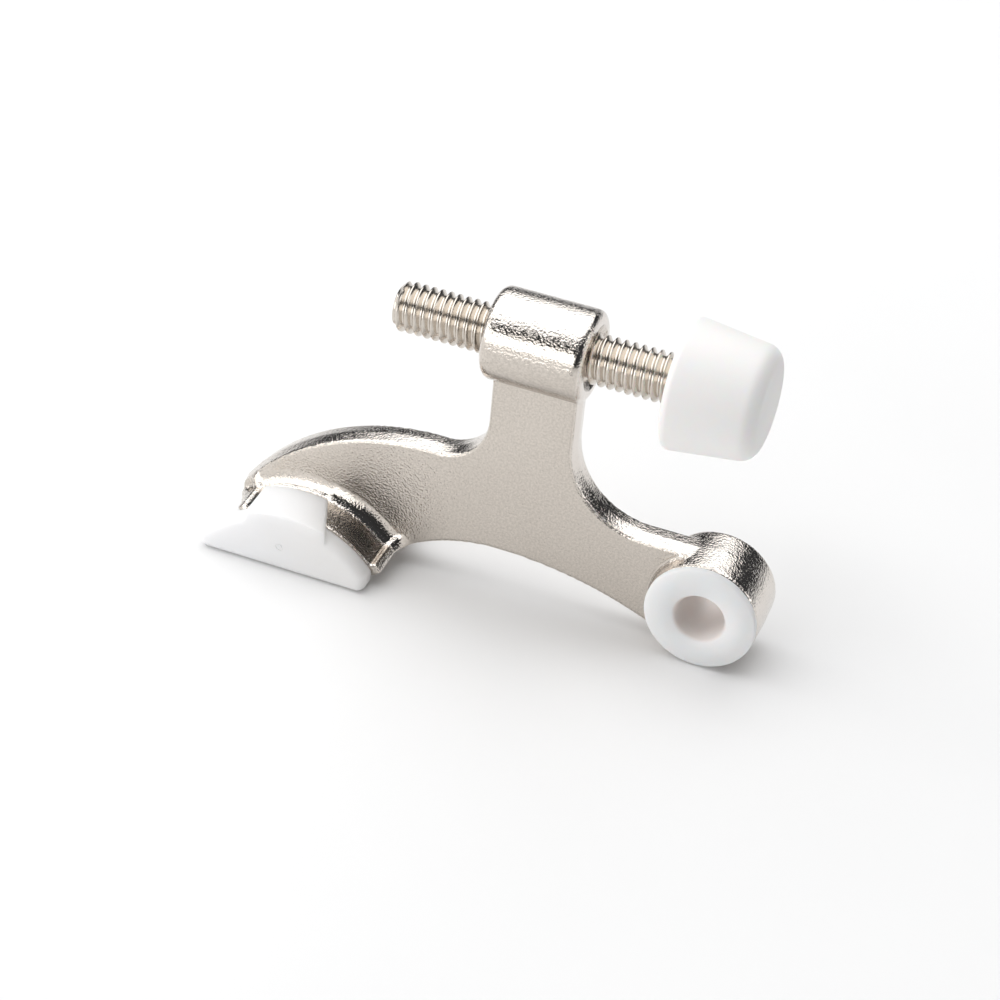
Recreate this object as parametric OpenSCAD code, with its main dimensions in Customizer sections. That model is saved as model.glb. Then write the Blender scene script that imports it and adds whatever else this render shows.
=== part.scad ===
// Hinge pin door stop
// The eye slips over a door's hinge pin. The pad rests flat against the door, and the
// rubber bumper on the screw meets the door casing. Turning the screw sets the angle at
// which the door stops.
// Frame: the hinge pin runs along Y, +X points along the screw to the bumper and +Z is up
// when the stop stands on its pad and its eye. The origin is on the pin's axis, midway
// along the eye. The face with the bush's flange looks to -Y.

/* [Hinge pin eye] */
// Diameter of the hinge pin that the stop slips over
pin_d = 7.94; // [6.4:0.01:9]
// Wall of the nylon bush between the pin and the eye
bush_wall = 1.5; // [1:0.1:2]
// Outer diameter of the eye's barrel
eye_d = 18.4; // [17:0.1:22.5]
// Length of the eye's barrel along the pin
barrel_l = 10.4; // [8:0.1:16]
// Thickness of the bush's flange
flange_t = 1; // [0.8:0.1:2]
// How far the bush's flange stays inside the barrel's edge
flange_inset = 0.2; // [0:0.1:0.8]

/* [Arm] */
// Thickness of the arm's plate
plate_t = 5; // [4:0.1:6]
// Height of the screw's axis above the pin's axis
screw_h = 37.3; // [31:0.1:45]
// Distance from the pin's axis back to the middle of the boss
boss_x = 31.2; // [29:0.1:34]
// Width of the post that carries the boss
post_w = 14.2; // [11:0.1:16]
// Outer diameter of the boss
boss_d = 14.7; // [13:0.1:18]
// Length of the boss along the screw
boss_l = 16.4; // [14:0.1:20]
// Rounding of the boss's end edges
boss_round = 1.4; // [0.5:0.1:2]
// Height of the arm's back above the pin's axis at its highest point
back_h = 14.2; // [12:0.1:16]
// Radius of the arm's curved back
back_r = 38.8; // [36:0.2:44]
// Distance of the back's highest point behind the boss
back_dx = 15.9; // [14:0.1:18]
// Height of the arm's top edge where it meets the eye
throat_h = 8.7; // [6:0.1:9]
// Radius of the fillet between the post and the eye
throat_r = 13; // [8:0.5:14]
// Radius of the fillet between the post and the back
nape_r = 8; // [5:0.5:10]
// Height of the underside's highest point, from the pin's axis
belly_h = -1.3; // [-3:0.1:1]
// Radius of the underside on the pad's side
belly_pad_r = 28; // [25:0.5:34]
// Radius of the underside on the eye's side
belly_eye_r = 63; // [55:1:90]

/* [Foot] */
// Distance from the pin's axis back to the middle of the pad's arch
reach = 66.7; // [62:0.1:74]
// Radius of the foot's arched top
arch_r = 18.1; // [17:0.1:20]
// Height of the arch's crown above the pin's axis
arch_h = 0.4; // [-1:0.1:1.5]
// Width of the foot along the pin's direction
foot_w = 20; // [17:0.5:26]
// Length of the foot from the arch's middle towards the tail
foot_tail = 8.9; // [8.5:0.1:10.5]
// Length of the foot from the arch's middle towards the eye
foot_front = 14.7; // [12:0.1:15.5]
// Length of the plate's tail past the arch's middle
tail_l = 12.3; // [11.5:0.1:14.5]

/* [Door pad] */
// Thickness of the pad's sole
sole_t = 2.3; // [1.5:0.1:3]
// Thickness of the pad's side walls
side_t = 3.4; // [2:0.1:5]
// How far the pad's front end stays behind the foot's front end
pad_setback = 0.7; // [0.2:0.1:1.5]
// Thickness of the clips that hook over the foot
clip_t = 0.9; // [0.6:0.1:1.2]
// Length of the clips' hook over the foot
clip_l = 4.2; // [2:0.1:4.8]
// Reach of the clips from the arch's middle towards the tail
clip_tail = 7.9; // [6:0.1:8.4]
// Reach of the clips from the arch's middle towards the eye
clip_front = 4.5; // [3:0.1:8]

/* [Screw] */
// Major diameter of the screw's thread
screw_d = 7.94; // [6:0.01:9.6]
// Pitch of the screw's thread
screw_pitch = 1.411; // [1:0.001:1.6]
// Length of the screw, from its free end to its head's end
screw_l = 53.8; // [50:0.1:68]
// Distance from the pin's axis back to the screw's free end
screw_back = 54.8; // [52:0.1:60]

/* [Bumper] */
// Distance from the pin's axis back to the bumper's wide end
bumper_back = 9.8; // [8:0.1:12]
// Length of the bumper
bumper_l = 14.2; // [13:0.1:20]
// Diameter of the bumper's wide end
bumper_d = 21; // [19:0.1:25]
// Diameter of the bumper's striking face
bumper_face_d = 17.4; // [15:0.1:19]
// Rounding of the bumper's edges
bumper_round = 1.5; // [0.5:0.1:2.5]

/* [Hidden] */
$fn = 96;
eps = 0.01;

// Clearance all round the hinge pin
pin_gap = 0.03;
// Squeeze of the bush in the eye
bush_press = 0.02;
// Clearance round the screw in the boss, and round its end in the bumper
screw_gap = 0.05;
// Clearance between the foot's arch and the pad's clips
clip_gap = 0.05;

// Eye
bush_r = pin_d / 2 + pin_gap;
sleeve_r = bush_r + bush_wall;
eye_bore_r = sleeve_r - bush_press;

// Arm
back_x = boss_x + back_dx;
post_half = post_w / 2;
far = 200;

// Foot and pad
sole_z = -eye_d / 2;
foot_z = sole_z + sole_t;
arch_z = arch_h - arch_r;
pad_half = foot_w / 2 + side_t;

// Screw and bumper
thread_depth = 0.5413 * screw_pitch;
crest = screw_pitch / 8;
flank = thread_depth * tan(30);
root_r = screw_d / 2 - thread_depth;
head_r = screw_d / 2 + 0.8;
head_l = 2.2;
neck_l = 3.4;
thread_l = screw_l - head_l - neck_l;
turns = floor((thread_l - thread_depth) / screw_pitch);
head_play = 0.15;

// Bends a flat outline drawn in X and Z into place, w wide about the middle plane
module stand(w) {
    rotate([90, 0, 0]) linear_extrude(w, center = true) children();
}

// Lays a turned shape, drawn along Z, down along X at the screw's height
module on_screw_axis(x) {
    translate([x, 0, screw_h]) rotate([0, 90, 0]) children();
}

// Flat region between two X values, reaching far up and down
module slab(x0, x1) {
    translate([x0, -far]) square([x1 - x0, 2 * far]);
}

// Flat region above a height
module above(z) {
    translate([-far, z]) square([2 * far, far]);
}

// Segment under the pad's arch, of radius r, above height z
module arch_segment(r, z) {
    intersection() {
        translate([-reach, arch_z]) circle(r);
        above(z);
    }
}

// Half profile of a turned bar with rounded end edges, for rotate_extrude
module rounded_bar(r, l, round_r) {
    square([r - round_r, l]);
    translate([0, round_r]) square([r, l - 2 * round_r]);
    for (z = [round_r, l - round_r]) translate([r - round_r, z]) circle(round_r);
}

// Space under the arm: one arc towards the pad, a flatter one towards the eye
module belly_cut() {
    intersection() {
        translate([-boss_x - 3.3, belly_h - belly_pad_r]) circle(belly_pad_r, $fn = 160);
        slab(-far, -boss_x - 3.3);
    }
    intersection() {
        translate([-boss_x - 3.3, belly_h - belly_eye_r]) circle(belly_eye_r, $fn = 240);
        slab(-boss_x - 3.3, far);
    }
}

// Curved tail of the arm, from the post back to the foot
module tail_outline() {
    intersection() {
        translate([-back_x, back_h - back_r]) circle(back_r, $fn = 240);
        slab(-reach - tail_l, -boss_x);
        above(foot_z);
    }
}

// Concave fillet that joins the post to the arm's back, tangent to both
module nape_fillet() {
    corner_x = -boss_x - post_half;
    fillet_x = corner_x - nape_r;
    fillet_z = back_h - back_r + sqrt(pow(back_r + nape_r, 2) - pow(fillet_x + back_x, 2));
    difference() {
        translate([fillet_x, fillet_z - nape_r - 1]) square([nape_r + eps, nape_r + 1]);
        translate([fillet_x, fillet_z]) circle(nape_r);
    }
}

// Neck from the post to the eye, with its concave fillet
module neck_outline() {
    corner_x = -boss_x + post_half;
    translate([-boss_x, sole_z]) square([boss_x, throat_h - sole_z]);
    difference() {
        translate([corner_x - eps, throat_h - eps]) square([throat_r + eps, throat_r + eps]);
        translate([corner_x + throat_r, throat_h + throat_r]) circle(throat_r);
    }
}

// Whole side view of the plate
module plate_outline() {
    difference() {
        union() {
            tail_outline();
            nape_fillet();
            neck_outline();
            translate([-boss_x - post_half, 0]) square([post_w, screw_h]);
        }
        belly_cut();
    }
}

// Foot seen from above: square at the front, narrowing towards the tail
module foot_plan() {
    front = -reach + foot_front;
    shoulder = -reach - foot_tail;
    tail = -reach - tail_l;
    polygon([
        [front, -foot_w / 2], [front, foot_w / 2], [shoulder, foot_w / 2],
        [tail, plate_t / 2], [tail, -plate_t / 2], [shoulder, -foot_w / 2]
    ]);
}

// Arm: one casting with the plate, the boss, the eye and the foot
module arm() color("#b9b1a6") difference() {
    union() {
        stand(plate_t) plate_outline();
        stand(barrel_l) circle(eye_d / 2);
        intersection() {
            stand(foot_w) arch_segment(arch_r, foot_z);
            translate([0, 0, foot_z]) linear_extrude(far) foot_plan();
        }
        on_screw_axis(-boss_x - boss_l / 2)
            rotate_extrude() intersection() {
                rounded_bar(boss_d / 2, boss_l, boss_round);
                translate([0, -1]) square([far, boss_l + 2]);
            }
    }
    stand(barrel_l + 2) circle(eye_bore_r);
    on_screw_axis(-boss_x - boss_l / 2 - 1) cylinder(boss_l + 2, r = screw_d / 2 + screw_gap);
}

// Bush: nylon sleeve pressed into the eye, with a flange on the front face
module hinge_bush() color("#eef1f4") difference() {
    union() {
        stand(barrel_l) circle(sleeve_r);
        translate([0, -barrel_l / 2 - flange_t / 2]) stand(flange_t)
            circle(eye_d / 2 - flange_inset);
    }
    stand(2 * (barrel_l + flange_t)) circle(bush_r);
}

// Door pad: nylon shoe with two half-moon sides that grip the foot's ends, a flat sole
// and a clip on each side that hooks over the arch
module door_pad() color("#dfe6ea") difference() {
    intersection() {
        union() {
            stand(2 * pad_half) arch_segment(arch_r, sole_z);
            stand(2 * pad_half) intersection() {
                arch_segment(arch_r + clip_t, foot_z);
                slab(-reach - clip_tail, -reach + clip_front);
            }
        }
        stand(2 * pad_half) slab(-far, -reach + foot_front - pad_setback);
    }
    // room for the foot between the sides
    stand(foot_w) arch_segment(arch_r + clip_gap, foot_z);
    // room for the arm between the clips
    stand(foot_w - 2 * clip_l) above(foot_z);
}

// Screw: threaded rod with a turned neck and head inside the bumper
module threaded_rod() color("#c3beb6") on_screw_axis(-screw_back) rotate_extrude() polygon(concat(
    [[0, 0], [screw_d / 2 - thread_depth, 0], [screw_d / 2, thread_depth]],
    [for (i = [0:turns - 1], p = [
        [screw_d / 2, crest],
        [root_r, crest + flank],
        [root_r, screw_pitch - flank],
        [screw_d / 2, screw_pitch]
    ]) [p[0], thread_depth + i * screw_pitch + p[1]]],
    [
        [root_r, thread_l],
        [root_r, thread_l + neck_l],
        [head_r, thread_l + neck_l],
        [head_r - 0.6, screw_l],
        [0, screw_l]
    ]));

// Bumper: moulded rubber, widest at the screw, pushed over the screw's head
module bumper() color("#f3f3f1") on_screw_axis(-bumper_back) {
    lean = atan((bumper_d - bumper_face_d) / 2 / bumper_l);
    wide_c = bumper_d / 2 - bumper_round / cos(lean) - bumper_round * tan(lean);
    face_c = bumper_face_d / 2 - bumper_round / cos(lean) + bumper_round * tan(lean);
    socket_l = screw_l - screw_back + bumper_back;
    difference() {
        rotate_extrude() polygon(concat(
            [[0, 0]],
            [for (a = [-90:15:lean])
                [wide_c, bumper_round] + bumper_round * [cos(a), sin(a)]],
            [for (a = [lean:15:90])
                [face_c, bumper_l - bumper_round] + bumper_round * [cos(a), sin(a)]],
            [[face_c, bumper_l], [0, bumper_l]]));
        translate([0, 0, -1])
            cylinder(socket_l - head_l - neck_l + 1 + eps, r = screw_d / 2 + screw_gap);
        cylinder(socket_l - head_l, r = root_r + screw_gap);
        translate([0, 0, socket_l - head_l - head_play])
            cylinder(head_l + 2 * head_play, r = head_r + screw_gap);
    }
}

arm();
hinge_bush();
door_pad();
threaded_rod();
bumper();
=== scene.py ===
from math import asin, atan2, ceil, cos, hypot, pi, radians, sin, sqrt, tan

import bmesh
import bpy
from mathutils import Matrix, Vector


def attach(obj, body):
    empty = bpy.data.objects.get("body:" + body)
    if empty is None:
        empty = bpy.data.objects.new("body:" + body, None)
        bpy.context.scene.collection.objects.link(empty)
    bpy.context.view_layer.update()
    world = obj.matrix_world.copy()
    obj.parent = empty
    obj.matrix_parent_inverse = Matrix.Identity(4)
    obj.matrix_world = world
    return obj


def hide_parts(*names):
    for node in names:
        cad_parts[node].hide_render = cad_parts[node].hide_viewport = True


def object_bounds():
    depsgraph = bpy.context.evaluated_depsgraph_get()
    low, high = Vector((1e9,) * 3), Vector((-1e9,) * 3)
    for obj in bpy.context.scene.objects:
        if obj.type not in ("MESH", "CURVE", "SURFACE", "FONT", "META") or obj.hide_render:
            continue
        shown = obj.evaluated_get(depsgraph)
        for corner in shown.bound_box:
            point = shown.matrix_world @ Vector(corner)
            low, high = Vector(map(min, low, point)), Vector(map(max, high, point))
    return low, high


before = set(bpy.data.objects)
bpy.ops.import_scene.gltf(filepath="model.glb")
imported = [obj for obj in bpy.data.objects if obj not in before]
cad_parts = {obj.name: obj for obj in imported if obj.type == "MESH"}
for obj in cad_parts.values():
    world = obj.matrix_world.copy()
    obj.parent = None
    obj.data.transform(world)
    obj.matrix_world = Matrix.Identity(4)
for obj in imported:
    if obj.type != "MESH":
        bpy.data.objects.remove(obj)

cad_box = [list(corner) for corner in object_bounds()]

# Camera: a long lens looks down on the front of the stop from the bumper's side, held
# slightly tilted. It aims at the middle of the arm.
mm = 0.001
aim = Vector((-35.8, 0, 6.65)) * mm
azimuth, elevation, roll, distance = 17.85, 36.0, 5.6, 451.6
camera_data = bpy.data.cameras.new("camera")
camera_data.lens = 103.5
camera_data.sensor_width = 36
camera_data.clip_start = 0.01
camera = bpy.data.objects.new("camera", camera_data)
camera.matrix_world = (
    Matrix.Translation(aim)
    @ Matrix.Rotation(radians(azimuth), 4, "Z")
    @ Matrix.Rotation(radians(90 - elevation), 4, "X")
    @ Matrix.Rotation(radians(roll), 4, "Z")
    @ Matrix.Translation((0, 0, distance * mm))
)
bpy.context.collection.objects.link(camera)
bpy.context.scene.camera = camera
bpy.context.scene.view_settings.view_transform = "Standard"


# Floor and light: a white table, a broad soft box overhead, a low bright screen at the front
# left and a weak fill on each side. The dim room behind them gives the metal its dark bands.
class Shade:
    """One output in a node tree. Arithmetic on it adds Math nodes."""

    def __init__(self, tree, socket=None):
        self.tree = tree
        self.socket = socket

    def node(self, kind, settings=None, sockets=None, out=0):
        made = self.tree.nodes.new(kind)
        for name, value in (settings or {}).items():
            setattr(made, name, value)
        for name, value in (sockets or {}).items():
            if isinstance(value, Shade):
                self.tree.links.new(value.socket, made.inputs[name])
            else:
                made.inputs[name].default_value = value
        return Shade(self.tree, made.outputs[out])

    def math(self, operation, *terms):
        return self.node("ShaderNodeMath", {"operation": operation}, dict(enumerate(terms)))

    def __add__(self, other):
        return self.math("ADD", self, other)

    def __sub__(self, other):
        return self.math("SUBTRACT", self, other)

    def __rsub__(self, other):
        return self.math("SUBTRACT", other, self)

    def __mul__(self, other):
        return self.math("MULTIPLY", self, other)

    __radd__ = __add__
    __rmul__ = __mul__

    def step(self, low, high):
        return self.node(
            "ShaderNodeMapRange",
            {"interpolation_type": "SMOOTHSTEP"},
            {"Value": self, "From Min": low, "From Max": high},
        )

    def mix(self, first, second):
        tones = [tone if isinstance(tone, Shade) else (*tone, 1) for tone in (first, second)]
        return self.node(
            "ShaderNodeMix", {"data_type": "RGBA"}, {"Factor": self, 6: tones[0], 7: tones[1]}, 2
        )

    def place(self, axis):
        """One coordinate in the object's frame: 0 for X, 1 for Y, 2 for Z."""
        where = self.node("ShaderNodeTexCoord", out=3)
        return self.node("ShaderNodeSeparateXYZ", None, {"Vector": where}, axis)

    def noise(self, size, detail=2.0, roughness=0.5):
        where = self.node("ShaderNodeTexCoord", out=3)
        return self.node(
            "ShaderNodeTexNoise",
            None,
            {"Vector": where, "Scale": 1 / (size * mm), "Detail": detail, "Roughness": roughness},
        )


def material(name, **constants):
    """A new material: its Principled shader with constant sockets set, and a Shade for it."""
    made = bpy.data.materials.new(name)
    made.use_nodes = True
    shader = made.node_tree.nodes["Principled BSDF"]
    for socket, value in constants.items():
        shader.inputs[socket.replace("_", " ")].default_value = value
    return made, shader, Shade(made.node_tree)


def feed(shader, socket, shade):
    shade.tree.links.new(shade.socket, shader.inputs[socket])


def bump(height, depth):
    """Normal from a height that varies between 0 and 1 over a depth in millimetres."""
    return height.node(
        "ShaderNodeBump", None, {"Strength": 1.0, "Distance": depth * mm, "Height": height}
    )


floor_z = cad_box[0][2]
bm = bmesh.new()
bmesh.ops.create_grid(bm, x_segments=1, y_segments=1, size=3)
bmesh.ops.translate(bm, verts=bm.verts, vec=(0, 0, floor_z))
floor_mesh = bpy.data.meshes.new("floor")
bm.to_mesh(floor_mesh)
bm.free()
floor = bpy.data.objects.new("floor", floor_mesh)
bpy.context.collection.objects.link(floor)
paper, shader, shade = material("white_paper", Roughness=0.9)
feed(shader, "Base Color", shade.noise(40, 3).mix((0.90, 0.90, 0.90), (0.92, 0.92, 0.92)))
floor_mesh.materials.append(paper)


def soft_box(name, place, size, power, colour=(1, 1, 1)):
    """An area light that looks at the stop."""
    data = bpy.data.lights.new(name, "AREA")
    data.shape = "RECTANGLE"
    data.size, data.size_y = size
    data.energy = power
    data.color = colour
    light = bpy.data.objects.new(name, data)
    light.location = place
    towards = aim - light.location
    light.rotation_euler = towards.to_track_quat("-Z", "Y").to_euler()
    bpy.context.collection.objects.link(light)


soft_box("overhead", (-0.2, 0.19, 0.75), (1.5, 1.2), 11)
soft_box("front_screen", (-0.65, -1.02, 0.36), (1.6, 0.66), 7.5)
soft_box("left_fill", (-0.9, -0.2, 0.5), (0.7, 0.7), 1.8, (1, 0.98, 0.95))
soft_box("right_fill", (1.1, 0.2, 0.35), (0.6, 0.5), 1.8)

world = bpy.data.worlds.new("studio")
world.use_nodes = True
bpy.context.scene.world = world
world.node_tree.nodes["Background"].inputs["Color"].default_value = (0.9, 0.93, 1, 1)
world.node_tree.nodes["Background"].inputs["Strength"].default_value = 0.05


# Arm: one zinc die casting, plated with satin nickel. Its sides lean back from a parting
# line half way through its thickness, and its edges and inner corners are rounded.
plate_t = 5.0
draft = 0.3
screw_h = 37.3
boss_x = 31.2
post_half = 7.1
boss_r, boss_l, boss_round = 7.35, 16.4, 1.4
eye_r, barrel_l = 9.2, 10.4
eye_draft, eye_round, eye_bore_r = 0.15, 0.5, 5.48
back = Vector((-47.1, -24.6))
back_r = 38.8
nape_r = 8.0
throat = Vector((-11.1, 21.7))
throat_r = 13.0
belly_x, belly_h = -34.5, -1.3
belly_pad_r, belly_eye_r = 28.0, 63.0
arch = Vector((-66.7, -17.7))
arch_r = 18.1
foot_half = 10.0
foot_z = -6.9
foot_front, foot_shoulder, foot_tail = -52.0, -75.6, -79.0
sole_z = -9.2
step_l = 0.5
arm_voxel = 0.3


def height_on(centre, radius, x):
    """Height at x of the upper half of a circle drawn in X and Z."""
    return centre[1] + sqrt(radius**2 - (x - centre[0]) ** 2)


def start(bm, x, z):
    """The first vertex of an outline, which is drawn in X and Z."""
    return bmesh.ops.create_vert(bm, co=(x, 0, z))["vert"][0]


def line_to(bm, vert, x, z):
    made = bmesh.ops.extrude_vert_indiv(bm, verts=[vert])["verts"][0]
    made.co = (x, 0, z)
    return made


def arc_to(bm, vert, centre, x, z, step=step_l):
    """Sweeps a vertex round a centre in X and Z, by the shorter way, to a point."""
    a = atan2(vert.co.z - centre[1], vert.co.x - centre[0])
    b = atan2(z - centre[1], x - centre[0])
    turn = (a - b + pi) % (2 * pi) - pi
    radius = hypot(x - centre[0], z - centre[1])
    swept = bmesh.ops.spin(
        bm, geom=[vert], cent=(centre[0], 0, centre[1]), axis=(0, 1, 0), angle=turn,
        steps=max(2, ceil(abs(turn) * radius / step)), use_duplicate=False,
    )
    return [v for v in swept["geom_last"] if isinstance(v, bmesh.types.BMVert)][0]


def close_outline(bm):
    """Joins the ends of a drawn outline and fills it."""
    bmesh.ops.remove_doubles(bm, verts=bm.verts, dist=0.01)
    ends = [v for v in bm.verts if len(v.link_edges) == 1]
    if len(ends) == 2:
        bm.edges.new(ends)
    return bmesh.ops.contextual_create(bm, geom=bm.edges[:])["faces"][0]


def turned(bm, profile, axis, centre=(0, 0, 0), segments=96):
    """Turns a profile of (radius, distance along the axis) points into a closed shape."""
    along = Vector(axis)
    out = Vector((0, 0, 1))
    before = set(bm.verts)
    rim = [
        bmesh.ops.create_vert(bm, co=Vector(centre) + along * a + out * r)["vert"][0]
        for r, a in profile
    ]
    edges = [bm.edges.new(pair) for pair in zip(rim, rim[1:])]
    bmesh.ops.spin(
        bm, geom=rim + edges, cent=centre, axis=axis, angle=2 * pi, steps=segments,
        use_merge=True, use_duplicate=False,
    )
    made = [v for v in bm.verts if v not in before]
    bmesh.ops.remove_doubles(bm, verts=made, dist=0.001)


def round_corner(points, radii, steps=5):
    """Profile points with each inner corner rounded by its radius."""
    made = [points[0]]
    for before, here, after, r in zip(points, points[1:], points[2:], radii):
        if r == 0:
            made.append(here)
            continue
        p, q, s = Vector(before), Vector(here), Vector(after)
        u, v = (p - q).normalized(), (s - q).normalized()
        reach = r / tan(u.angle(v) / 2)
        first, last = q + u * reach, q + v * reach
        centre = q + (u + v).normalized() * (r / sin(u.angle(v) / 2))
        a = first - centre
        sweep = a.angle_signed(last - centre)
        made += [tuple(centre + Matrix.Rotation(-sweep * k / steps, 2) @ a)
                 for k in range(steps + 1)]
    return made + [points[-1]]


def slice_off(bm, place, outward):
    """Takes away what lies beyond a plane and closes the cut."""
    halves = bmesh.ops.bisect_plane(
        bm, geom=bm.verts[:] + bm.edges[:] + bm.faces[:], plane_co=place,
        plane_no=outward, clear_outer=True,
    )
    open_edges = [e for e in halves["geom_cut"] if isinstance(e, bmesh.types.BMEdge)]
    bmesh.ops.contextual_create(bm, geom=open_edges)


def piece_from(bm, name):
    """A finished object from a bmesh drawn in millimetres, placed in metres."""
    bmesh.ops.recalc_face_normals(bm, faces=bm.faces)
    bmesh.ops.scale(bm, verts=bm.verts, vec=(mm, mm, mm))
    mesh = bpy.data.meshes.new(name)
    bm.to_mesh(mesh)
    bm.free()
    made = bpy.data.objects.new(name, mesh)
    bpy.context.collection.objects.link(made)
    return made


def settle(piece, sharp=40):
    """Applies a piece's modifiers and shades it smooth, apart from its sharp edges."""
    seen = bpy.context.evaluated_depsgraph_get()
    mesh = bpy.data.meshes.new_from_object(piece.evaluated_get(seen))
    piece.modifiers.clear()
    rough, piece.data = piece.data, mesh
    bpy.data.meshes.remove(rough)
    mesh.name = piece.name
    mesh.shade_smooth()
    mesh.set_sharp_from_angle(angle=radians(sharp))


def fuse(piece, voxel, passes):
    """Runs overlapping shells together into one skin with soft corners."""
    remesh = piece.modifiers.new("fuse", "REMESH")
    remesh.mode = "VOXEL"
    remesh.voxel_size = voxel * mm
    remesh.use_smooth_shade = True
    smooth = piece.modifiers.new("soften", "SMOOTH")
    smooth.factor = 0.5
    smooth.iterations = passes


def cut(piece, tool):
    """Cuts a closed tool out of a piece."""
    made = piece.modifiers.new("cut", "BOOLEAN")
    made.operation = "DIFFERENCE"
    made.solver = "EXACT"
    made.object = tool


# Plate: one outline, filled, pulled back to a smaller face on each side.
bm = bmesh.new()
nape_x = -boss_x - post_half - nape_r
nape_z = back.y + sqrt((back_r + nape_r) ** 2 - (nape_x - back.x) ** 2)
meet = back + (Vector((nape_x, nape_z)) - back).normalized() * back_r
v = start(bm, foot_tail, foot_z)
v = line_to(bm, v, foot_tail, height_on(back, back_r, foot_tail))
v = arc_to(bm, v, back, *meet)
v = arc_to(bm, v, (nape_x, nape_z), nape_x + nape_r, nape_z)
v = line_to(bm, v, -boss_x - post_half, screw_h)
v = line_to(bm, v, -boss_x + post_half, screw_h)
v = line_to(bm, v, -boss_x + post_half, throat.y)
v = arc_to(bm, v, throat, throat.x, throat.y - throat_r)
v = line_to(bm, v, 0, throat.y - throat_r)
v = line_to(bm, v, 0, sole_z)
belly_eye = (belly_x, belly_h - belly_eye_r)
belly_pad = (belly_x, belly_h - belly_pad_r)
eye_side = belly_x + sqrt(belly_eye_r**2 - (sole_z - belly_eye[1]) ** 2)
pad_side = belly_x - sqrt(belly_pad_r**2 - (foot_z - belly_pad[1]) ** 2)
v = line_to(bm, v, eye_side, sole_z)
v = arc_to(bm, v, belly_eye, belly_x, belly_h)
v = arc_to(bm, v, belly_pad, pad_side, foot_z)
face = close_outline(bm)
bmesh.ops.inset_region(
    bm, faces=[face], thickness=draft, use_boundary=True, use_even_offset=True
)
bmesh.ops.translate(bm, verts=face.verts, vec=(0, -plate_t / 2, 0))
bmesh.ops.mirror(bm, geom=bm.verts[:] + bm.edges[:] + bm.faces[:], axis="Y", merge_dist=0.001)

# Eye and boss: turned shapes, widest at the parting line.
turned(
    bm,
    round_corner(
        [(0, -barrel_l / 2), (eye_r - eye_draft, -barrel_l / 2), (eye_r, 0),
         (eye_r - eye_draft, barrel_l / 2), (0, barrel_l / 2)],
        [eye_round, 0, eye_round],
    ),
    (0, 1, 0),
)
turned(
    bm,
    round_corner(
        [(0, 0), (boss_r, 0), (boss_r, boss_l), (0, boss_l)],
        [boss_round, boss_round],
    ),
    (1, 0, 0),
    centre=(-boss_x - boss_l / 2, 0, screw_h),
)

# Foot: the arched block under the tail, narrowing behind its shoulder.
foot = bmesh.new()
half_chord = sqrt(arch_r**2 - (foot_z - arch.y) ** 2)
v = start(foot, foot_tail, foot_z)
v = line_to(foot, v, foot_tail, height_on(arch, arch_r, foot_tail))
v = arc_to(foot, v, arch, arch.x + half_chord, foot_z)
face = close_outline(foot)
bmesh.ops.translate(foot, verts=foot.verts, vec=(0, -foot_half, 0))
grown = bmesh.ops.extrude_face_region(foot, geom=[face])["geom"]
bmesh.ops.translate(
    foot, verts=[v for v in grown if isinstance(v, bmesh.types.BMVert)],
    vec=(0, 2 * foot_half, 0),
)
for side in (-1, 1):
    corner = Vector((foot_shoulder, side * foot_half, 0))
    slope = Vector((foot_tail - foot_shoulder, side * (plate_t / 2 - foot_half), 0))
    slice_off(foot, corner, Vector((slope.y, -slope.x, 0)) * side)
foot_mesh = bpy.data.meshes.new("foot")
foot.to_mesh(foot_mesh)
foot.free()
bm.from_mesh(foot_mesh)
bpy.data.meshes.remove(foot_mesh)

# A hollow leads from the plate down to a crisp line along the foot's arch, and the arch
# has a raised rim at each end.
hollow_step, front_rim_h, tail_rim_h = 0.05, 1.0, 0.4
tail_hollow, front_hollow = (7.0, radians(34)), (4.8, radians(50))
hollow_tail, hollow_change, hollow_blend = foot_shoulder - 0.8, -62.5, 0.6
front_rim, tail_rim = foot_front - 1.1, (foot_shoulder - 0.6, foot_shoulder + 0.3)
rim_half, least_lip, sunk = foot_half - 0.1, 0.05, 1
under_back = back_r - 0.7
hollow_steps = 8


def swept_over_arch(bm, proud, x0, x1, side, hollow, outer=0.0):
    """Sweeps a hollow of (radius, turn), proud of the arch, from one X to another."""
    hollow_r, hollow_turn = hollow
    turns = [hollow_turn * k / hollow_steps for k in range(hollow_steps + 1)]
    curve = [
        (arch_r + proud + hollow_r * (sin(hollow_turn) - sin(t)),
         plate_t / 2 + hollow_r * (1 - cos(t)))
        for t in turns
    ]
    outer = max(outer, curve[-1][1] + least_lip)
    profile = (
        [(curve[0][0], 0)] + curve
        + [(arch_r + proud, outer), (arch_r - sunk, outer), (arch_r - sunk, 0)]
    )
    a0, a1 = (asin((x - arch.x) / arch_r) for x in (x0, x1))
    section = [
        bmesh.ops.create_vert(
            bm, co=(arch.x + r * sin(a0), side * y, arch.y + r * cos(a0))
        )["vert"][0]
        for r, y in profile
    ]
    bmesh.ops.spin(
        bm, geom=[bm.faces.new(section)], cent=(arch.x, 0, arch.y), axis=(0, 1, 0),
        angle=a1 - a0, steps=max(3, ceil((a1 - a0) * arch_r / step_l)), use_duplicate=False,
    )


for side in (-1, 1):
    before = set(bm.verts)
    swept_over_arch(bm, hollow_step, hollow_tail, hollow_change + hollow_blend, side, tail_hollow)
    swept_over_arch(bm, hollow_step, hollow_change - hollow_blend, foot_front, side, front_hollow)
    swept_over_arch(bm, front_rim_h, front_rim, foot_front, side, front_hollow, rim_half)
    swept_over_arch(bm, tail_rim_h, *tail_rim, side, tail_hollow, rim_half)

    # None of it breaks through the plate's upper edge.
    for v in bm.verts:
        if v not in before:
            out = Vector((v.co.x, v.co.z)) - back
            if out.length > under_back:
                out *= under_back / out.length
                v.co.x, v.co.z = back + out

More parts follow.
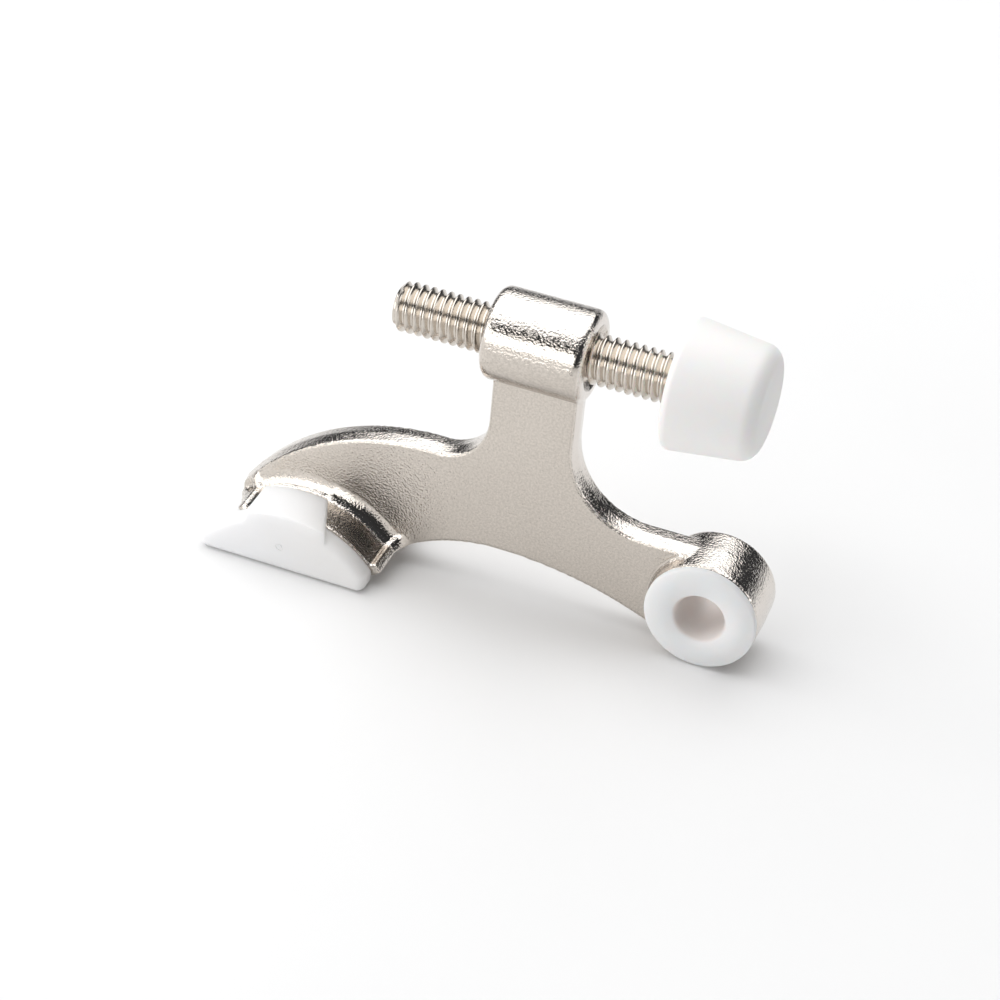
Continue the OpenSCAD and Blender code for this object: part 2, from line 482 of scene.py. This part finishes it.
arm = piece_from(bm, "arm_casting")
fuse(arm, arm_voxel, passes=4)

# The boss's hole, countersunk at both ends, and the eye's bore. The real hole is tapped. This
# one is plain and clears the screw.
screw_r, thread_gap = 3.97, 0.15
hole_r, sink, runout = screw_r + thread_gap, 1.1, 1
bm = bmesh.new()
turned(
    bm,
    [(0, -runout), (hole_r + sink + runout, -runout), (hole_r, sink), (hole_r, boss_l - sink),
     (hole_r + sink + runout, boss_l + runout), (0, boss_l + runout)],
    (1, 0, 0),
    centre=(-boss_x - boss_l / 2, 0, screw_h),
)
boss_drill = piece_from(bm, "boss_drill")
bm = bmesh.new()
turned(
    bm,
    [(0, -barrel_l), (eye_bore_r, -barrel_l), (eye_bore_r, barrel_l), (0, barrel_l)],
    (0, 1, 0),
)
eye_drill = piece_from(bm, "eye_drill")
cut(arm, boss_drill)
cut(arm, eye_drill)
settle(arm)
for tool in (boss_drill, eye_drill):
    bpy.data.objects.remove(tool)

casting, shader, shade = material("satin_nickel_casting", Metallic=1.0, Roughness=0.3)
normal = shade.node("ShaderNodeTexCoord", out=1)
facing = shade.node("ShaderNodeSeparateXYZ", None, {"Vector": normal}, 1)
square_on = facing.math("ABSOLUTE", facing)
flat = square_on.step(0.93, 0.99)
hollow = square_on.step(0.72, 0.84) * (1 - square_on.step(0.97, 0.998))
pebbles = shade.noise(0.8, 2, 0.6)
grain = shade.noise(0.36, 1.5, 0.6)
cloud = shade.noise(9, 2, 0.5)
# The satin colour is speckled by the same grain as the bump: partly the finish's own speckle,
# partly painted highlight and shade on the pebbles.
satin_and_painted_grain = (cloud * 0.3 + grain.step(0.3, 0.7) * 0.7).mix((0.53, 0.485, 0.435), (0.70, 0.645, 0.585))
bright = cloud.mix((0.69, 0.64, 0.59), (0.76, 0.715, 0.67))
feed(shader, "Base Color", (flat + hollow * 0.9).mix(bright, satin_and_painted_grain))
feed(shader, "Roughness", flat * 0.14 + grain * 0.06 + 0.05)
relief = (pebbles * 0.25 + grain * 0.75) * (flat * 0.15 + 0.6) * (1 - hollow * 0.6)
feed(shader, "Normal", bump(relief, 0.24))
arm.data.materials.clear()
arm.data.materials.append(casting)
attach(arm, "stop_body")
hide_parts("arm")


# Bush: white nylon, moulded with a flange that seats on the eye's front face, and pressed
# into the eye. The hinge pin turns in it.
pin_r, sleeve_r, flange_r, flange_t = 4.0, 5.5, 9.0, 1.0
lead_in, rim_chamfer = 0.5, 0.3
front_y = -barrel_l / 2 - flange_t
bm = bmesh.new()
ring = [
    (pin_r, barrel_l / 2), (pin_r, front_y + lead_in), (pin_r + lead_in, front_y),
    (flange_r - rim_chamfer, front_y), (flange_r, front_y + rim_chamfer),
    (flange_r, front_y + flange_t), (sleeve_r, front_y + flange_t), (sleeve_r, barrel_l / 2),
    (pin_r, barrel_l / 2),
]
turned(bm, ring, (0, 1, 0), segments=128)
bush = piece_from(bm, "hinge_bush_moulding")
settle(bush, 50)
nylon, shader, shade = material(
    "bush_nylon", Roughness=0.38, Subsurface_Weight=0.6, Subsurface_Scale=0.0015
)
shader.inputs["Subsurface Radius"].default_value = (1.0, 0.8, 0.7)
x, z = shade.place(0), shade.place(2)
squares = x * x + z * z
from_pin = squares.math("SQRT", squares)
# Painted shade: inside the bore the colour turns darker and warmer.
outside_bore_tone = shade.noise(5, 2).mix((0.85, 0.845, 0.845), (0.88, 0.875, 0.875))
painted_bore_shade = shade.noise(1.5, 3).mix((0.80, 0.745, 0.715), (0.84, 0.79, 0.765))
beyond_bore = from_pin.step((pin_r + 0.05) * mm, (pin_r + lead_in) * mm)
feed(shader, "Base Color", beyond_bore.mix(painted_bore_shade, outside_bore_tone))
feed(shader, "Roughness", shade.noise(0.6, 2) * 0.1 + 0.33)
feed(shader, "Normal", bump(shade.noise(0.5, 3), 0.01))
bush.data.materials.append(nylon)
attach(bush, "stop_body")
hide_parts("hinge_bush")


# Door pad: one moulding in translucent white nylon that snaps over the foot. Half-moon
# sides grip its two ends, a flat sole runs underneath and two clips reach over the arch.
side_t, wall_round, foot_gap = 3.4, 1.3, 0.1
pad_front = -52.7
clip_t, clip_l, clip_tail, clip_front = 1.1, 4.9, -73.7, -59.6
clip_slant, far_clip_tail, clip_inset = 3.2, -71.0, 0.08
inside_box = 0.02
pad_half = foot_half + side_t - inside_box
pad_sole = sole_z + inside_box
pad_step, pad_voxel = 0.3, 0.25


def extruded(bm, part, face, y0, y1, soft=0.0, trim=None):
    """Adds a flat face drawn out from y0 to y1, with its edges at y0 soft and an end trimmed."""
    bmesh.ops.translate(part, verts=part.verts, vec=(0, y0, 0))
    outer = face.edges[:]
    grown = bmesh.ops.extrude_face_region(part, geom=[face], use_keep_orig=True)["geom"]
    bmesh.ops.translate(
        part, verts=[v for v in grown if isinstance(v, bmesh.types.BMVert)], vec=(0, y1 - y0, 0)
    )
    bmesh.ops.recalc_face_normals(part, faces=part.faces)
    if trim:
        slice_off(part, *trim)
    if soft:
        bmesh.ops.bevel(
            part, geom=outer, offset=soft, segments=6, affect="EDGES", profile=0.5, material=-1
        )
    made = bpy.data.meshes.new("part")
    part.to_mesh(made)
    part.free()
    bm.from_mesh(made)
    bpy.data.meshes.remove(made)


# Side walls: a half-moon with a round tip at the tail and a round lower corner in front.
tip_r, toe_r = 1.9, 1.5
tip = Vector((-79.8, pad_sole + tip_r))
tip_shoulder = tip + (tip - arch).normalized() * tip_r
lobe_start = -76.8
bm = bmesh.new()
for side in (-1, 1):
    part = bmesh.new()
    v = start(part, pad_front - toe_r, pad_sole)
    toe = (pad_front - toe_r, pad_sole + toe_r)
    v = arc_to(part, v, toe, pad_front, pad_sole + toe_r, pad_step)
    v = line_to(part, v, pad_front, height_on(arch, arch_r, pad_front))
    v = arc_to(part, v, arch, lobe_start, height_on(arch, arch_r, lobe_start))
    v = line_to(part, v, *tip_shoulder)
    v = arc_to(part, v, tip, tip.x, pad_sole, pad_step)
    face = close_outline(part)
    extruded(bm, part, face, side * pad_half, side * (foot_half + foot_gap), wall_round)

    # The clip, raised over the arch's edge and reaching in towards the plate, with its front
    # end cut on a slant. It is a block down to the foot's base, so the part of it that can't
    # be seen lies inside the casting.
    tail = clip_tail if side < 0 else far_clip_tail
    part = bmesh.new()
    v = start(part, tail, foot_z)
    v = line_to(part, v, tail, height_on(arch, arch_r + clip_t, tail))
    v = arc_to(part, v, arch, clip_front, height_on(arch, arch_r + clip_t, clip_front))
    v = line_to(part, v, clip_front, foot_z)
    inner = foot_half - clip_l
    slant = (
        Vector((clip_front - clip_slant, side * inner, 0)),
        Vector((pad_half - inner, -side * clip_slant, 0)),
    )
    face = close_outline(part)
    extruded(bm, part, face, side * (pad_half - clip_inset), side * inner, trim=slant)

# The sole between the walls, run into both of them.
sole_overlap = 1
part = bmesh.new()
v = start(part, tip.x, pad_sole)
v = line_to(part, v, pad_front - toe_r, pad_sole)
v = line_to(part, v, pad_front, foot_z - foot_gap)
v = line_to(part, v, tip.x, foot_z - foot_gap)
extruded(bm, part, close_outline(part), -foot_half - sole_overlap, foot_half + sole_overlap)
pad = piece_from(bm, "door_pad_moulding")
fuse(pad, pad_voxel, passes=6)

# The mark its moulding gate leaves on the near side: a shallow ring.
gate_x, gate_z, gate_r, gate_depth = -67.3, -4.5, 0.65, 0.15
gate_inner = gate_r - 0.3
bm = bmesh.new()
turned(
    bm,
    [(gate_inner, -runout), (gate_r, -runout), (gate_r, gate_depth),
     (gate_inner, gate_depth), (gate_inner, -runout)],
    (0, 1, 0),
    centre=(gate_x, -pad_half, gate_z),
    segments=32,
)
gate_cutter = piece_from(bm, "gate_cutter")
cut(pad, gate_cutter)
settle(pad)
bpy.data.objects.remove(gate_cutter)
pad_nylon, shader, shade = material(
    "pad_nylon", Roughness=0.42, Subsurface_Weight=0.8, Subsurface_Scale=0.003
)
shader.inputs["Subsurface Radius"].default_value = (1.0, 0.97, 0.95)
# Painted shade: the base colour greys from the tail lobe towards the front, where the metal
# behind the translucent wall dims the light through it, with some random tone mixed in.
painted_shade_to_front = shade.place(0).step(-78 * mm, -56 * mm) + shade.noise(5, 2) * 0.3 - 0.15
feed(shader, "Base Color", painted_shade_to_front.mix((0.885, 0.885, 0.895), (0.83, 0.82, 0.81)))
feed(shader, "Roughness", shade.noise(0.6, 2) * 0.1 + 0.38)
feed(shader, "Normal", bump(shade.noise(0.5, 3), 0.01))
pad.data.materials.append(pad_nylon)
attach(pad, "stop_body")
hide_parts("door_pad")


# Adjusting screw: steel rod with a rolled thread, nickel plated. Its free end is turned to
# a chamfer, and its other end has a turned neck and a head, which the bumper's rubber holds.
pitch = 1.411
thread_depth = 0.5413 * pitch
screw_back, thread_front = -54.8, -6.65
neck_front, head_front, head_r = -3.2, -1.0, screw_r + 0.8
neck_overlap, head_chamfer = 1, 0.6
slices = 48
root_r = screw_r - thread_depth
end_r = root_r - 0.1

# The thread: flanks 60 degrees apart, a crest an eighth of the pitch wide and soft edges.
root_l, root_rise = 0.12, 0.03
edge_l, edge_drop = 0.06, 0.05
crest_start = root_l + thread_depth * tan(radians(30))
crest_end = crest_start + pitch / 8
spare_turns = 2
first = screw_back - spare_turns * pitch
turns = ceil((thread_front - first) / pitch) + spare_turns
one_pitch = [
    (0, root_r), (root_l, root_r + root_rise),
    (crest_start - edge_l, screw_r - edge_drop), (crest_start, screw_r),
    (crest_end, screw_r), (crest_end + edge_l, screw_r - edge_drop),
    (pitch - root_l, root_r + root_rise), (pitch, root_r),
]
bm = bmesh.new()
rim = [
    bmesh.ops.create_vert(bm, co=(first + a, 0, screw_h + r))["vert"][0] for a, r in one_pitch
]
edges = [bm.edges.new(pair) for pair in zip(rim, rim[1:])]
bmesh.ops.spin(
    bm, geom=rim + edges, cent=(0, 0, screw_h), axis=(1, 0, 0), dvec=(pitch / slices, 0, 0),
    angle=2 * pi * turns, steps=slices * turns, use_duplicate=False,
)
bmesh.ops.remove_doubles(bm, verts=bm.verts, dist=0.005)
slice_off(bm, (screw_back, 0, 0), (-1, 0, 0))
slice_off(bm, (thread_front, 0, 0), (1, 0, 0))
for v in bm.verts:
    limit = end_r + (v.co.x - screw_back)
    reach = hypot(v.co.y, v.co.z - screw_h)
    if reach > limit:
        v.co.y *= limit / reach
        v.co.z = screw_h + (v.co.z - screw_h) * limit / reach
screw = piece_from(bm, "threaded_screw")


def join(piece, tool):
    """Welds a closed tool onto a piece."""
    made = piece.modifiers.new("join", "BOOLEAN")
    made.operation = "UNION"
    made.solver = "EXACT"
    made.object = tool


neck_root = thread_front - neck_overlap
neck_l, head_end = neck_front - neck_root, head_front - neck_root
bm = bmesh.new()
turned(
    bm,
    [(0, 0), (end_r, 0), (end_r, neck_l), (head_r, neck_l), (head_r - head_chamfer, head_end),
     (0, head_end)],
    (1, 0, 0),
    centre=(neck_root, 0, screw_h),
    segments=slices,
)
head = piece_from(bm, "head")
join(screw, head)
settle(screw, 35)
bpy.data.objects.remove(head)
plated, shader, shade = material("nickel_screw", Metallic=1.0)
feed(shader, "Base Color", shade.noise(4, 2).mix((0.62, 0.57, 0.51), (0.68, 0.63, 0.57)))
feed(shader, "Roughness", shade.noise(0.4, 3) * 0.12 + 0.16)
feed(shader, "Normal", bump(shade.noise(0.2, 3), 0.008))
screw.data.materials.append(plated)
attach(screw, "screw")
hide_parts("threaded_rod")


# Bumper: soft white rubber, moulded as a blunt cone with rounded edges and pushed over the
# screw's head.
bumper_back, bumper_l = -9.8, 14.2
bumper_r, face_r = 10.4, 8.7
mouth_round, back_round, face_round = 0.3, 1.2, 2.8
fit_gap, head_gap = 0.05, 0.15
thread_end = thread_front - bumper_back + fit_gap
head_near = neck_front - bumper_back - head_gap
head_far = head_front - bumper_back + head_gap
bm = bmesh.new()
turned(
    bm,
    round_corner(
        [(0, head_far), (head_r + fit_gap, head_far), (head_r + fit_gap, head_near),
         (root_r + fit_gap, head_near), (root_r + fit_gap, thread_end),
         (screw_r + fit_gap, thread_end), (screw_r + fit_gap, 0), (bumper_r, 0),
         (face_r, bumper_l), (0, bumper_l)],
        [0, 0, 0, 0, 0, mouth_round, back_round, face_round],
        steps=8,
    ),
    (1, 0, 0),
    centre=(bumper_back, 0, screw_h),
    segments=128,
)
tip = piece_from(bm, "rubber_bumper")
settle(tip, 60)
rubber, shader, shade = material(
    "bumper_rubber", Roughness=0.6, Subsurface_Weight=0.25, Subsurface_Scale=0.001
)
feed(shader, "Base Color", shade.noise(6, 2).mix((0.89, 0.88, 0.865), (0.91, 0.90, 0.89)))
feed(shader, "Roughness", shade.noise(0.5, 3) * 0.12 + 0.55)
feed(shader, "Normal", bump(shade.noise(0.25, 3), 0.008))
tip.data.materials.append(rubber)
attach(tip, "bumper_tip")
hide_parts("bumper")
